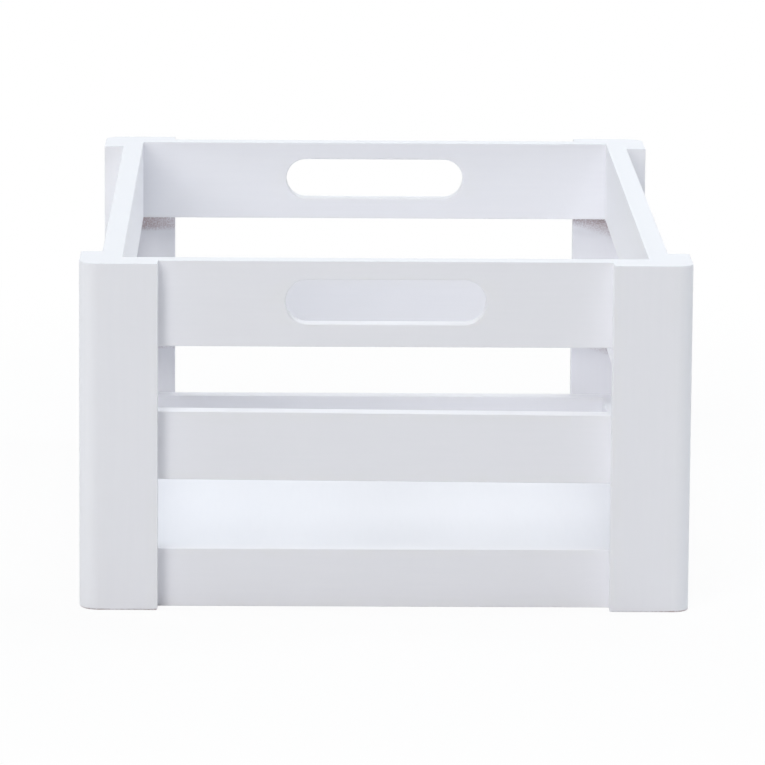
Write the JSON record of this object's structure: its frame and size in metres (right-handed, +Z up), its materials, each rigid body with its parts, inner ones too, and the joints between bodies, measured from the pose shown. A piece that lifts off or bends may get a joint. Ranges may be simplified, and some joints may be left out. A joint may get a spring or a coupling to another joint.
{
  "type": "apple crate",
  "caption": "White painted slatted wooden crate with corner posts, hand slots through both short ends and a solid floor panel.",
  "frame": {"origin": "centre of the footprint, on the ground under the posts", "axes": "+Z up, +Y along the length from the front short end to the back one, +X to the right seen from the front"},
  "size_m": [0.3, 0.45, 0.1725],
  "materials": {
    "white_paint": "satin white paint over sanded wood",
    "brad_steel": "bright drawn wire"
  },
  "bodies": {
    "root": {"post_front_left": "white_paint", "post_front_right": "white_paint", "post_back_right": "white_paint", "post_back_left": "white_paint", "floor_panel": "white_paint", "front_rail_lower": "white_paint", "front_rail_middle": "white_paint", "front_rail_top": "white_paint", "back_rail_lower": "white_paint", "back_rail_middle": "white_paint", "back_rail_top": "white_paint", "left_board_lower": "white_paint", "left_board_middle": "white_paint", "left_board_top": "white_paint", "right_board_lower": "white_paint", "right_board_middle": "white_paint", "right_board_top": "white_paint", "brad_front_lower_left_1": "brad_steel", "brad_front_lower_right_1": "brad_steel", "brad_front_middle_left_1": "brad_steel", "brad_front_middle_right_1": "brad_steel", "brad_front_top_left_1": "brad_steel", "brad_front_top_left_2": "brad_steel", "brad_front_top_right_1": "brad_steel", "brad_front_top_right_2": "brad_steel", "brad_back_lower_left_1": "brad_steel", "brad_back_lower_right_1": "brad_steel", "brad_back_middle_left_1": "brad_steel", "brad_back_middle_right_1": "brad_steel", "brad_back_top_left_1": "brad_steel", "brad_back_top_left_2": "brad_steel", "brad_back_top_right_1": "brad_steel", "brad_back_top_right_2": "brad_steel", "brad_left_lower_back_1": "brad_steel", "brad_left_lower_front_1": "brad_steel", "brad_left_middle_back_1": "brad_steel", "brad_left_middle_front_1": "brad_steel", "brad_left_top_back_1": "brad_steel", "brad_left_top_back_2": "brad_steel", "brad_left_top_front_1": "brad_steel", "brad_left_top_front_2": "brad_steel", "brad_right_lower_back_1": "brad_steel", "brad_right_lower_front_1": "brad_steel", "brad_right_middle_back_1": "brad_steel", "brad_right_middle_front_1": "brad_steel", "brad_right_top_back_1": "brad_steel", "brad_right_top_back_2": "brad_steel", "brad_right_top_front_1": "brad_steel", "brad_right_top_front_2": "brad_steel"}
  },
  "joints": []
}
